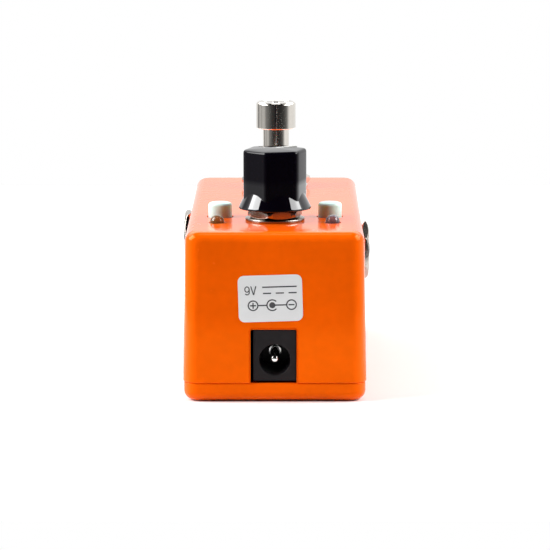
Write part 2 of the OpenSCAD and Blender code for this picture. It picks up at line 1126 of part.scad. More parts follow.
footswitch_stem();
footswitch_spring();
footswitch_contact_carrier();
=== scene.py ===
import json
import math

import bmesh
import bpy
import numpy as np
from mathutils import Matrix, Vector


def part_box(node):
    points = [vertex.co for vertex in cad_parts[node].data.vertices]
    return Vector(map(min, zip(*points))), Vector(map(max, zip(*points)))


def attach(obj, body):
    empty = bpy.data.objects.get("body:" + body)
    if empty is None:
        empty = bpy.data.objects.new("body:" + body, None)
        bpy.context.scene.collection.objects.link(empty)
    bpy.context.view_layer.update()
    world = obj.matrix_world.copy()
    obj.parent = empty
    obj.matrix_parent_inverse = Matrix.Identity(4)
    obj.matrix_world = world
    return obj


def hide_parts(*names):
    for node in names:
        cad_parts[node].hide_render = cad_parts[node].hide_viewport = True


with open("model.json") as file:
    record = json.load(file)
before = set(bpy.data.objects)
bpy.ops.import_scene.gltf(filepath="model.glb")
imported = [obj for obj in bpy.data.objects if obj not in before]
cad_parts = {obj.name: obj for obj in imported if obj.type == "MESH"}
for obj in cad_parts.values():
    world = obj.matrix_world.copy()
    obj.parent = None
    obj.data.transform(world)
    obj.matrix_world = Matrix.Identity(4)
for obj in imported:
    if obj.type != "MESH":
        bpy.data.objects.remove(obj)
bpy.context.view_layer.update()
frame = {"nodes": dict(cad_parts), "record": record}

MM = 0.001
STEPS_SMALL = 5      # points in a small edge radius
STEPS_LARGE = 14     # points in an edge radius that shows
ROUND = 96           # sides of a turned piece
SHARP = math.radians(38)

# ---------- places, in millimetres


def span(node):
    """A CAD node's lowest and highest corner, in millimetres."""
    low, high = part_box(node)
    return np.array(low) / MM, np.array(high) / MM


def centre(node):
    """The middle of a CAD node's box, in millimetres."""
    low, high = span(node)
    return (low + high) / 2


BOX_LOW, BOX_HIGH = span("enclosure")
BASE_HIGH = span("base_plate")[1]
HALF_W, HALF_L = BOX_HIGH[0], BOX_HIGH[1]
SEAM = BOX_LOW[2]
TOP = BOX_HIGH[2]
WALL = TOP - span("pot_housing")[1][2]
LEAN_IN = 0.55       # how far the walls lean in between the seam and the top
CORNER_R = 3.2
EDGE_R = 2.2
SEAM_EDGE = 0.28     # small radius along both lips of the seam
LEAN = LEAN_IN / (TOP - SEAM)


def lean_at(z):
    """How far a wall has leaned in at a height."""
    return LEAN * (z - SEAM)


# ---------- numpy meshes


def arc(cx, cy, r, start, stop, steps):
    """Points on a circle's arc, angles in degrees, as an (steps, 2) array."""
    a = np.radians(np.linspace(start, stop, steps))
    return np.stack([cx + r * np.cos(a), cy + r * np.sin(a)], 1)


def soften(path, radius, steps=STEPS_SMALL):
    """Rounds the inner corners of paths given as (points, columns, 2).

    Each corner P between A and B is replaced with the quadratic curve
    (1-t)^2 P0 + 2t(1-t) P + t^2 P1, where P0 and P1 lie up to `radius` from P
    on the way to A and B. radius may be one number or one for each inner corner.
    """
    path = np.asarray(path, float)
    if path.ndim == 2:
        path = path[:, None, :]
    radii = np.broadcast_to(radius, (len(path) - 2,))
    t = np.linspace(0, 1, steps)[:, None, None]
    rows = [path[:1]]
    for i, r in enumerate(radii, 1):
        if r <= 0:
            rows.append(path[i:i + 1])
            continue
        ends = []
        for other in (path[i - 1], path[i + 1]):
            way = other - path[i]
            length = np.maximum(np.linalg.norm(way, axis=-1, keepdims=True), 1e-9)
            ends.append(path[i] + way / length * np.minimum(r, 0.45 * length))
        a, b = ends
        rows.append((1 - t) ** 2 * a + 2 * t * (1 - t) * path[i] + t ** 2 * b)
    rows.append(path[-1:])
    return np.concatenate(rows)


def grid_faces(rows, columns, close_rows=False):
    """Quads of a grid whose columns wrap round, and whose rows wrap if close_rows."""
    last = rows if close_rows else rows - 1
    i = np.arange(last)[:, None]
    j = np.arange(columns)[None, :]
    down, right = (i + 1) % rows, (j + 1) % columns
    quads = np.stack(
        [i * columns + j, i * columns + right, down * columns + right, down * columns + j], -1
    )
    return quads.reshape(-1, 4)


class Shape:
    """Points and faces of one piece, gathered from several surfaces."""

    def __init__(self):
        self.points, self.faces, self.count = [], [], 0

    def add(self, points, faces):
        """Joins on points, and faces that count from the first of them."""
        points = np.asarray(points, float).reshape(-1, 3)
        self.faces += [[int(v) + self.count for v in f] for f in faces]
        self.points.append(points)
        self.count += len(points)
        return self

    def grid(self, points, close_rows=False):
        """A surface of rings, each ring closed on itself."""
        rows, columns = points.shape[:2]
        return self.add(points, grid_faces(rows, columns, close_rows))

    def capped(self, points):
        """A grid of rings, closed with a flat face at its first and last ring."""
        rows, columns = points.shape[:2]
        faces = grid_faces(rows, columns).tolist()
        faces.append(list(range(columns))[::-1])
        faces.append([(rows - 1) * columns + j for j in range(columns)])
        return self.add(points, faces)

    def mesh(self, name):
        """The mesh in metres, doubles merged, faces turned outwards."""
        data = bpy.data.meshes.new(name)
        data.from_pydata((np.concatenate(self.points) * MM).tolist(), [], self.faces)
        work = bmesh.new()
        work.from_mesh(data)
        bmesh.ops.remove_doubles(work, verts=work.verts, dist=2e-7)
        bmesh.ops.dissolve_degenerate(work, edges=work.edges, dist=1e-7)
        bmesh.ops.recalc_face_normals(work, faces=work.faces)
        work.to_mesh(data)
        work.free()
        return data

    def object(self, name):
        """The shape as an object in the scene."""
        thing = bpy.data.objects.new(name, self.mesh(name))
        bpy.context.scene.collection.objects.link(thing)
        return thing


def turned(path, columns=ROUND, angles=None):
    """A surface of revolution about z: point (r, z) of the path goes to (r cos a, r sin a, z).

    path is (points, 2), or (points, columns, 2) where the radius changes with the angle a.
    """
    path = np.asarray(path, float)
    if path.ndim == 2:
        path = path[:, None, :]
    if angles is None:
        angles = np.linspace(0, 2 * np.pi, columns, endpoint=False)
    r = np.broadcast_to(path[..., 0], (len(path), len(angles)))
    z = np.broadcast_to(path[..., 1], (len(path), len(angles)))
    return np.stack([r * np.cos(angles), r * np.sin(angles), z], -1)


def moved(points, offset):
    """Every point plus the offset."""
    return points + np.asarray(offset, float)


def along_x(points, side):
    """Turns shapes drawn along z so that z runs outwards along +X or -X."""
    x, y, z = points[..., 0], points[..., 1], points[..., 2]
    return np.stack([side * z, side * y, -x], -1)


def along_minus_y(points):
    """Turns shapes drawn along z so that z runs outwards along -Y."""
    x, y, z = points[..., 0], points[..., 1], points[..., 2]
    return np.stack([x, -z, y], -1)


def rounded_rect(half_x, half_y, r, steps=9):
    """Outline of a rectangle whose corners are arcs of radius r, anticlockwise."""
    r = max(r, 1e-3)
    corners = [(half_x, half_y, 0), (-half_x, half_y, 90), (-half_x, -half_y, 180), (half_x, -half_y, 270)]
    return np.concatenate([
        arc(x - math.copysign(r, x), y - math.copysign(r, y), r, a, a + 90, steps) for x, y, a in corners
    ])


def loft(levels, steps=9):
    """Rings of rounded rectangles: each level is (half width, half length, corner radius, height)."""
    rings = []
    for half_x, half_y, r, z in levels:
        outline = rounded_rect(half_x, half_y, r, steps)
        rings.append(np.column_stack([outline, np.full(len(outline), z)]))
    return np.stack(rings)


def hexagon(flat, corner_r=0.25, turn=0.0, flat_steps=12, corner_steps=5):
    """Angles and radii of a hexagon with rounded corners, `flat` from its axis to a flat.

    On a flat the radius is flat / cos(angle from the flat's middle). Round a corner it is
    where the ray meets the corner's circle: d cos(a) + sqrt(r^2 - d^2 sin(a)^2), with d
    the circle's centre distance and a the angle from the corner.
    """
    d = (flat - corner_r) / math.cos(math.radians(30))
    edge = math.atan2(corner_r * 0.5, d + corner_r * math.cos(math.radians(30)))
    on_corner = np.linspace(-edge, edge, corner_steps)
    on_flat = np.linspace(edge, math.radians(60) - edge, flat_steps + 2)[1:-1]
    corner = d * np.cos(on_corner) + np.sqrt(corner_r ** 2 - (d * np.sin(on_corner)) ** 2)
    straight = flat / np.cos(on_flat - math.radians(30))
    one_angle = np.concatenate([on_corner, on_flat])
    one_radius = np.concatenate([corner, straight])
    angles = np.concatenate([one_angle + k * math.radians(60) for k in range(6)])
    return angles + math.radians(turn), np.tile(one_radius, 6)


def columns_of(points, *radii_and_heights):
    """Paths for turned(): each entry is (radius, height), numbers or arrays over the columns."""
    rows = []
    for radius, height in radii_and_heights:
        rows.append(np.stack([np.broadcast_to(radius, (points,)), np.broadcast_to(height, (points,))], -1))
    return np.stack(rows)


def nut(flat, bore, z0, z1, turn=0.0, corner_r=0.2):
    """A hexagon nut. Its end faces slope down 30 degrees outside a circle just inside
    the flats, which cuts the curved bevels into its corners."""
    angles, radius = hexagon(flat, corner_r, turn)
    n = len(angles)
    ring = flat * 0.97
    drop = (radius - ring) * math.tan(math.radians(30))
    chamfer = 0.25
    path = columns_of(
        n,
        (bore, (z0 + z1) / 2), (bore, z0 + chamfer), (bore + chamfer, z0), (ring, z0),
        (radius, z0 + drop), (radius, z1 - drop), (ring, z1), (bore + chamfer, z1),
        (bore, z1 - chamfer), (bore, (z0 + z1) / 2),
    )
    return turned(soften(path, 0.07, 3), angles=angles)


def threaded(crest, bore, z0, z1, pitch, depth, bore_chamfer=0.3, columns=64):
    """A tube with a thread outside: radius = crest - depth * w, where w is a rounded
    triangle wave of (height / pitch - turn), faded out at both ends; plain bore inside."""
    rows = int((z1 - z0) / pitch * 8) + 2
    z = np.linspace(z0, z1, rows)[:, None]
    angle = np.linspace(0, 2 * np.pi, columns, endpoint=False)[None, :]
    wave = 0.5 - 0.5 * np.cos(2 * np.pi * (z / pitch - angle / (2 * np.pi)))
    fade = np.clip(np.minimum(z - z0, z1 - z) / (0.7 * pitch), 0, 1)
    radius = crest - depth * (1 - (1 - wave) * fade)
    outside = np.stack([radius, np.broadcast_to(z, radius.shape)], -1)
    half_way = (bore, (z0 + z1) / 2)
    back_chamfer, root = 0.2, crest - depth - 0.15
    start = columns_of(
        columns, half_way, (bore, z0 + back_chamfer), (bore + back_chamfer, z0), (root, z0)
    )
    stop = columns_of(
        columns, (root, z1), (bore + bore_chamfer, z1), (bore, z1 - bore_chamfer), half_way
    )
    return turned(np.concatenate([start, outside, stop]), columns)


def washer(outer, bore, z0, z1, edge=0.12):
    """A flat ring with small radii on its four edges."""
    mid = (bore + outer) / 2
    path = [(mid, z0), (bore, z0), (bore, z1), (outer, z1), (outer, z0), (mid, z0)]
    return turned(soften(path, edge, 4))


# ---------- finishing a piece


def cut(target, tool):
    """Takes one closed mesh out of another; the tool is thrown away."""
    work = target.modifiers.new("cut", "BOOLEAN")
    work.operation = "DIFFERENCE"
    work.solver = "EXACT"
    work.object = tool
    graph = bpy.context.evaluated_depsgraph_get()
    result = bpy.data.meshes.new_from_object(target.evaluated_get(graph))
    target.modifiers.clear()
    old = target.data
    target.data = result
    bpy.data.meshes.remove(old)
    mesh = tool.data
    bpy.data.objects.remove(tool)
    bpy.data.meshes.remove(mesh)


def finish_mesh(thing, sharp=SHARP):
    """Smooth shading with hard edges kept, and normals weighted by face area, so that
    flat faces stay flat up to their rounded edges."""
    data = thing.data
    work = bmesh.new()
    work.from_mesh(data)
    bmesh.ops.remove_doubles(work, verts=work.verts, dist=3e-7)
    bmesh.ops.dissolve_degenerate(work, edges=work.edges, dist=2e-7)
    bmesh.ops.recalc_face_normals(work, faces=work.faces)
    work.to_mesh(data)
    work.free()
    data.polygons.foreach_set("use_smooth", np.ones(len(data.polygons), bool))
    data.set_sharp_from_angle(angle=sharp)
    weights = thing.modifiers.new("weights", "WEIGHTED_NORMAL")
    weights.mode = "FACE_AREA"
    weights.weight = 80
    weights.keep_sharp = True
    graph = bpy.context.evaluated_depsgraph_get()
    result = bpy.data.meshes.new_from_object(thing.evaluated_get(graph))
    thing.modifiers.clear()
    thing.data = result
    bpy.data.meshes.remove(data)


def piece(shape, name, material, body="box", replaces=(), sharp=SHARP):
    """Puts a finished piece in the scene, on its body, in place of its CAD nodes."""
    thing = shape if isinstance(shape, bpy.types.Object) else shape.object(name)
    finish_mesh(thing, sharp)
    thing.name = thing.data.name = name
    thing.data.materials.clear()
    thing.data.materials.append(material)
    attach(thing, body)
    if replaces:
        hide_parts(*replaces)
    return thing


# ---------- materials


class Wire:
    """A number socket that can be used in arithmetic: each operator adds a Math node, for
    self + other, self - other, self * other and other - self."""

    def __init__(self, tree, socket):
        self.tree, self.socket = tree, socket

    def _math(self, operation, left, right):
        """A Math node of that operation on the two."""
        return self.tree.node("ShaderNodeMath", {"operation": operation}, {0: left, 1: right})

    def __add__(self, other):
        return self._math("ADD", self, other)

    def __sub__(self, other):
        return self._math("SUBTRACT", self, other)

    def __mul__(self, other):
        return self._math("MULTIPLY", self, other)

    def __rsub__(self, other):
        return self._math("SUBTRACT", other, self)

    __radd__, __rmul__ = __add__, __mul__


class Tree:
    """A node tree: nodes are added by type, settings and inputs."""

    def __init__(self, tree):
        self.nodes, self.links = tree.nodes, tree.links
        self.shader = self.nodes.get("Principled BSDF")

    def set(self, socket, value, node=None):
        """Gives a socket a value or a wire, on the shader or on another node."""
        target = (node or self.shader).inputs[socket]
        if isinstance(value, Wire):
            self.links.new(value.socket, target)
        else:
            target.default_value = value

    def node(self, kind, settings=None, inputs=None, out=0):
        """Adds a node and returns the wire from one of its outputs."""
        made = self.nodes.new(kind)
        for key, value in (settings or {}).items():
            if key == "stops":
                ramp = made.color_ramp
                for place, shade in value[2:]:
                    ramp.elements.new(place)
                for element, (place, shade) in zip(ramp.elements, sorted(value)):
                    element.position = place
                    element.color = (*shade[:3], 1.0)
            else:
                setattr(made, key, value)
        for key, value in (inputs or {}).items():
            self.set(key, value, made)
        return Wire(self, made.outputs[out])


class Recipe(Tree):
    """A material and its shader, with the patterns that the finishes are made from."""

    def __init__(self, name, colour, **numbers):
        self.material = bpy.data.materials.new(name)
        self.material.use_nodes = True
        super().__init__(self.material.node_tree)
        self.set("Base Color", (*colour[:3], 1.0))
        for key, value in numbers.items():
            self.set(key.replace("_", " "), value)

    def place(self):
        """Where a point is on the object, in metres."""
        return self.node("ShaderNodeTexCoord", out="Object")

    def noise(self, size_mm, detail=2.0, roughness=0.5, stretch=(1, 1, 1)):
        """Smooth noise from 0 to 1 whose lumps are about size_mm across."""
        scale = 1 / (size_mm * MM)
        where = self.node(
            "ShaderNodeMapping", inputs={"Vector": self.place(), "Scale": [scale * s for s in stretch]}
        )
        return self.node(
            "ShaderNodeTexNoise",
            inputs={"Vector": where, "Scale": 1.0, "Detail": detail, "Roughness": roughness}
        )

    def range(self, value, low, high, to_low, to_high):
        """value from low..high carried to to_low..to_high, held at the ends."""
        return self.node(
            "ShaderNodeMapRange", {"clamp": True},
            {"Value": value, "From Min": low, "From Max": high, "To Min": to_low, "To Max": to_high}
        )

    def mix(self, factor, first, second):
        """A colour between two, by the factor."""
        inputs = {"Factor": factor}
        for key, value in ((6, first), (7, second)):
            inputs[key] = value if isinstance(value, Wire) else (*value[:3], 1.0)
        return self.node("ShaderNodeMix", {"data_type": "RGBA"}, inputs, out=2)

    def bump(self, height, depth_mm, over=None):
        """A bump of that depth on the shader's normal; over is the bump it adds to."""
        inputs = {"Height": height, "Distance": depth_mm * MM, "Strength": 1.0}
        if over is not None:
            inputs["Normal"] = over
        made = self.node("ShaderNodeBump", inputs=inputs)
        self.set("Normal", made)
        return made


def powder_coat(name, colour):
    """Glossy powder coat: orange-peel waves, a few specks of dust under the gloss, and a
    colour that drifts at random over wide clouds, with painted shade in the hollows of the
    waves and a painted lighter tone on their crests."""
    paint = Recipe(name, colour, Roughness=0.10)
    paint.set("Specular Tint", (1.0, 0.30, 0.02, 1.0))
    peel = paint.noise(1.9, 2.0, 0.45)
    fine = paint.noise(0.45, 2.0, 0.5)
    cloud = paint.noise(14.0, 3.0, 0.55)
    speck = paint.range(paint.noise(1.1, 1.0, 0.3), 0.76, 0.82, 0.0, 1.0)
    deep = tuple(c * 0.90 for c in colour)
    bright = tuple(min(1.0, c * 1.06) for c in colour)
    # painted shade and light: the wide clouds vary the tone at random, and the peel term darkens the colour
    # in the waves' hollows and lightens it on their crests
    shade = paint.mix(paint.range(cloud + peel * 0.35, 0.45, 0.95, 0.0, 1.0), deep, bright)
    pale = tuple(min(1.0, c * 1.25 + 0.02) for c in colour)
    paint.set("Base Color", paint.mix(speck * 0.25, shade, pale))
    paint.set("Roughness", paint.range(fine, 0.3, 0.7, 0.08, 0.12))
    waves = paint.bump(peel + fine * 0.12, 0.020)
    paint.bump(speck, 0.03, over=waves)
    return paint.material


def plated(name, colour, roughness=0.12, grain_mm=0.5, wear=0.5, stretch=(1, 1, 1)):
    """Plated metal: faint polishing grain, smears that change the gloss, tiny pits."""
    metal = Recipe(name, colour, Metallic=1.0, Roughness=roughness)
    grain = metal.noise(grain_mm, 3.0, 0.6, stretch)
    smear = metal.noise(3.5, 3.0, 0.6)
    pits = metal.range(metal.noise(0.3, 1.0, 0.4), 0.78, 0.86, 0.0, 1.0)
    dull = tuple(c * (1 - 0.22 * wear) for c in colour)
    metal.set("Base Color", metal.mix(metal.range(smear, 0.4, 0.75, 0.0, 1.0), colour, dull))
    smooth, rough = roughness * 0.7, roughness * (1.4 + wear)
    metal.set("Roughness", metal.range(smear + grain * 0.4, 0.4, 1.1, smooth, rough))
    metal.bump(grain - pits * 0.6, 0.004)
    return metal.material


def moulded(name, colour, roughness=0.45, texture_mm=0.12, depth_mm=0.006, coat=0.0, shine=0.5):
    """Moulded plastic: a fine spark texture, clouded gloss and slightly paler rubbed spots."""
    plastic = Recipe(name, colour, Roughness=roughness, Coat_Weight=coat, Coat_Roughness=0.05)
    plastic.set("Specular IOR Level", shine)
    texture = plastic.noise(texture_mm, 2.0, 0.6)
    cloud = plastic.noise(4.0, 3.0, 0.6)
    pale = tuple(min(1.0, c * 1.25 + 0.004) for c in colour)
    plastic.set("Base Color", plastic.mix(plastic.range(cloud, 0.45, 0.8, 0.0, 1.0), colour, pale))
    smooth, rough = roughness * 0.8, roughness * 1.2
    plastic.set("Roughness", plastic.range(cloud + texture * 0.3, 0.4, 1.0, smooth, rough))
    plastic.bump(texture, depth_mm)
    return plastic.material


PHENOLIC = (0.0015, 0.001, 0.003)
SCUFFED = (0.010, 0.009, 0.011)
SKIRT_GLOSS = (5.2 * MM, 6.4 * MM)    # heights over the knob's foot where the full gloss fades


def knob_black():
    """Polished phenolic: near black, with faint mould waves and hairline scuffs; the skirt
    keeps its full gloss and the handled grip above it has lost some."""
    gloss = Recipe("knob_gloss_black", PHENOLIC, Coat_Roughness=0.03, Specular_IOR_Level=0.16)
    full, faded = (span("knob_cap")[0][2] * MM + h for h in SKIRT_GLOSS)
    height = gloss.node("ShaderNodeSeparateXYZ", inputs={"Vector": gloss.place()}, out="Z")
    gloss.set("Coat Weight", gloss.range(height, full, faded, 1.0, 0.0))
    scuff = gloss.range(gloss.noise(0.5, 3.0, 0.7, (1, 1, 0.12)), 0.62, 0.75, 0.0, 1.0)
    waves = gloss.noise(3.0, 2.0, 0.5)
    gloss.set("Roughness", gloss.range(scuff + waves * 0.25, 0.1, 1.2, 0.03, 0.10))
    gloss.set("Base Color", gloss.mix(scuff * 0.3, PHENOLIC, SCUFFED))
    gloss.bump(waves + scuff * 0.05, 0.006)
    return gloss.material


def milky(name, colour):
    """Frosted translucent plastic lit from inside its own body."""
    skin = Recipe(name, colour, Roughness=0.28, Subsurface_Weight=0.55, Subsurface_Scale=0.0018)
    skin.set("Subsurface Radius", (1.0, 1.0, 0.75))
    frost = skin.noise(0.2, 2.0, 0.6)
    cloud = skin.noise(2.2, 2.0, 0.5)
    dim = tuple(c * 0.88 for c in colour)
    skin.set("Base Color", skin.mix(skin.range(cloud, 0.35, 0.7, 0.0, 1.0), colour, dim))
    skin.set("Roughness", skin.range(frost, 0.3, 0.7, 0.2, 0.36))
    skin.bump(frost, 0.003)
    return skin.material


def tinted_lens(name, colour):
    """Clear tinted epoxy: sees through to the lead frame, with flow marks."""
    lens = Recipe(name, colour, Roughness=0.06, Transmission_Weight=0.8, IOR=1.5)
    flow = lens.noise(0.8, 2.0, 0.5, (1, 1, 0.4))
    deep = tuple(c * 0.8 for c in colour)
    lens.set("Base Color", lens.mix(lens.range(flow, 0.35, 0.7, 0.0, 1.0), colour, deep))
    lens.set("Roughness", lens.range(flow, 0.3, 0.7, 0.04, 0.12))
    lens.bump(flow, 0.004)
    return lens.material


def film(name, colour):
    """Printed silver-white polyester film: satin, faintly flecked."""
    sheet = Recipe(name, colour, Roughness=0.36, Coat_Weight=0.35, Coat_Roughness=0.18)
    fleck = sheet.noise(0.18, 2.0, 0.6)
    cloud = sheet.noise(5.0, 2.0, 0.5)
    dim = tuple(c * 0.94 for c in colour)
    sheet.set("Base Color", sheet.mix(sheet.range(cloud + fleck * 0.3, 0.45, 0.95, 0.0, 1.0), colour, dim))
    sheet.set("Roughness", sheet.range(fleck, 0.3, 0.7, 0.30, 0.42))
    sheet.bump(fleck, 0.002)
    return sheet.material


def board(name):
    """Circuit board: green solder mask with copper tracks showing under it."""
    mask = Recipe(name, (0.01, 0.09, 0.035), Roughness=0.3, Coat_Weight=0.4, Coat_Roughness=0.1)
    tracks = mask.node(
        "ShaderNodeTexBrick", {"offset": 0.37},
        {"Vector": mask.place(), "Scale": 1 / (9 * MM), "Mortar Size": 0.035, "Mortar Smooth": 0.1,
         "Row Height": 0.21, "Brick Width": 0.8}, out="Fac"
    )
    weave = mask.noise(0.4, 2.0, 0.5)
    mask.set("Base Color", mask.mix(tracks, (0.01, 0.09, 0.035), (0.03, 0.20, 0.08)))
    mask.set("Roughness", mask.range(weave, 0.3, 0.7, 0.24, 0.38))
    mask.bump(tracks + weave * 0.2, 0.02)
    return mask.material


MATERIALS = {
    "orange_powder_coat": powder_coat("orange_powder_coat", (0.86, 0.105, 0.001)),
    "screw_steel": plated("screw_steel", (0.20, 0.20, 0.21), 0.3, 0.3),
    "label_film": film("label_film", (0.70, 0.71, 0.715)),
    "circuit_board": board("circuit_board"),
    "black_plastic": moulded("black_plastic", (0.012, 0.012, 0.013), 0.5, shine=0.25),
    "gold_pins": plated("gold_pins", (0.83, 0.60, 0.25), 0.18),
    "capacitor_sleeve": moulded("capacitor_sleeve", (0.02, 0.03, 0.10), 0.25, 0.4, 0.004, 0.5),
    "power_jack_plastic": moulded(
        "power_jack_plastic", (0.010, 0.008, 0.009), 0.42, 0.10, 0.008, shine=0.15
    ),
    "tinned_contacts": plated("tinned_contacts", (0.82, 0.82, 0.81), 0.16, 0.3, 0.3),
    "jack_nickel": plated("jack_nickel", (0.46, 0.42, 0.38), 0.12, 0.25, 0.6),
    "pot_zinc": plated("pot_zinc", (0.36, 0.33, 0.30), 0.16, 0.25, 0.7),
    "pot_shaft_metal": plated("pot_shaft_metal", (0.75, 0.75, 0.76), 0.25, 0.2, 0.4, (1, 1, 6)),
    "wiper_board": moulded("wiper_board", (0.30, 0.16, 0.07), 0.6),
    "knob_gloss_black": knob_black(),
    "pointer_white": moulded("pointer_white", (0.40, 0.40, 0.385), 0.35, 0.2, 0.003),
    "insert_brass": plated("insert_brass", (0.80, 0.58, 0.25), 0.25, 0.3),
    "amber_lens": tinted_lens("amber_lens", (0.36, 0.30, 0.10)),
    "violet_lens": tinted_lens("violet_lens", (0.30, 0.34, 0.46)),
    "milky_button": milky("milky_button", (0.60, 0.80, 0.76)),
    "switch_body_blue": moulded("switch_body_blue", (0.02, 0.08, 0.32), 0.4),
    "carrier_nylon": moulded("carrier_nylon", (0.75, 0.73, 0.66), 0.45),
    "foot_nickel": plated("foot_nickel", (0.80, 0.76, 0.70), 0.09, 0.22, 0.35, (1, 1, 0.2)),
    "zinc_hardware": plated("zinc_hardware", (0.62, 0.62, 0.60), 0.28, 0.3, 0.8),
    "spring_steel": plated("spring_steel", (0.50, 0.50, 0.50), 0.3, 0.3),
    "label_ink": moulded("label_ink", (0.045, 0.045, 0.05), 0.5, 0.1, 0.002),
}

SLOT_OF = {part["node"]: part["material_slot"] for part in frame["record"]["subparts"]}
for node, thing in frame["nodes"].items():
    thing.data.materials.clear()
    thing.data.materials.append(MATERIALS[SLOT_OF[node]])


def replace(shape, name, node, body="box", sharp=SHARP):
    """A piece that stands for one CAD node and takes that node's slot."""
    slot = SLOT_OF[node]
    return piece(shape, name, MATERIALS[slot], body, [node], sharp)


# ---------- box


def flared_hole(x, y, r, flare=0.22):
    """Cutter for a hole in the top face: a rod whose radius grows by `flare` in a
    quarter round at the surface, so that the painted rim is rounded."""
    rim = arc(r + flare, TOP - flare, flare, 180, 91, 6)
    path = np.concatenate([
        [(0, TOP - 2 * WALL), (r, TOP - 2 * WALL)], rim, [(rim[-1][0] + 0.02, TOP + 1.5), (0, TOP + 1.5)]
    ])
    tool = Shape().grid(moved(turned(path, 64), (x, y, 0)))
    return tool.object("tool")


def outer_levels():
    """Levels of the box's outside: a small lip radius at the seam, leaning walls and a
    quarter round at the top."""
    levels = []
    for inset, rise in arc(SEAM_EDGE, SEAM_EDGE, SEAM_EDGE, 270, 180, 6):
        levels.append((inset, SEAM + rise))
    for inset, rise in arc(EDGE_R, -EDGE_R, EDGE_R, 180, 90, STEPS_LARGE):
        levels.append((inset, TOP + rise))
    return [
        (HALF_W - lean_at(z) - i, HALF_L - lean_at(z) - i, CORNER_R - i, z)
        for i, z in levels
    ]


NOTCH_X, NOTCH_HALF, NOTCH_TOP = -0.25, 4.825, 15.4
SCREW_HEAD_R = 2.3
BOSS_R = 3.0
SCREW_POST_R, SCREW_HOLE_R, SCREW_SINK_R = 3.4, 1.4, 2.5
JACK_HOLE_R = 4.8
TOP_HOLES = {
    "pot_bushing": 3.6, "footswitch_bushing": 6.1, "left_led": 1.72, "right_led": 1.72,
    "left_button_cap": 2.83, "right_button_cap": 2.83,
}
CHANNEL_W, CHANNEL_D = 25.0, 0.35


def make_box():
    """The box: its outside as levels, a hollow with a boss in each corner, and the holes for
    the controls, the jacks and the power jack."""
    shell = Shape().capped(loft(outer_levels(), 13)).object("box_shell")
    inner_w, inner_l = HALF_W - WALL, HALF_L - WALL
    cavity = Shape().capped(loft([(inner_w, inner_l, 2.0, SEAM - 1), (inner_w, inner_l, 2.0, TOP - WALL)]))
    cavity = cavity.object("tool")
    screw_low, screw_high = span("base_screws")
    boss_x = (screw_high[0] - screw_low[0]) / 2 - SCREW_HEAD_R
    boss_y = (screw_high[1] - screw_low[1]) / 2 - SCREW_HEAD_R
    for sx in (-1, 1):
        for sy in (-1, 1):
            post = turned([(0, SEAM - 2), (BOSS_R, SEAM - 2), (BOSS_R, TOP), (0, TOP)], 32)
            boss = Shape().grid(moved(post, (sx * boss_x, sy * boss_y, 0)))
            cut(cavity, boss.object("tool"))
    cut(shell, cavity)
    for node, r in TOP_HOLES.items():
        x, y, _ = centre(node)
        cut(shell, flared_hole(x, y, r))
    for side, node in ((1, "output_jack_bushing"), (-1, "input_jack_bushing")):
        _, y, z = centre(node)
        rod = along_x(turned([(0, 14), (JACK_HOLE_R, 14), (JACK_HOLE_R, 24), (0, 24)], 48), side)
        cut(shell, Shape().grid(moved(rod, (0, y, z))).object("tool"))
    cut(shell, notch_tool())
    return replace(shell, "box_shell", "enclosure", sharp=math.radians(32))


def notch_tool():
    """Cutter for the power jack's opening: rounded rectangles along y that widen by a
    quarter round at the wall's face, sheared to follow the wall's lean."""
    flare, corner_r = 0.3, 0.35
    half_z = (NOTCH_TOP - SEAM + 3) / 2
    mid_z = NOTCH_TOP - half_z
    lip = arc(flare, flare, flare, 268, 180, 7)
    grow = np.concatenate([[(0.0, 2 * WALL)], lip])
    rings = []
    for out, deep in ((flare - g if i else 0.0, d) for i, (g, d) in enumerate(grow)):
        outline = rounded_rect(NOTCH_HALF + out, half_z + out, corner_r + out, 5)
        x, z = outline[:, 0] + NOTCH_X, outline[:, 1] + mid_z
        rings.append(np.column_stack([x, -HALF_L + deep + lean_at(z), z]))
    last = rings[-1].copy()
    last[:, 1] -= 2.0
    rings.append(last)
    return Shape().capped(np.stack(rings)).object("tool")


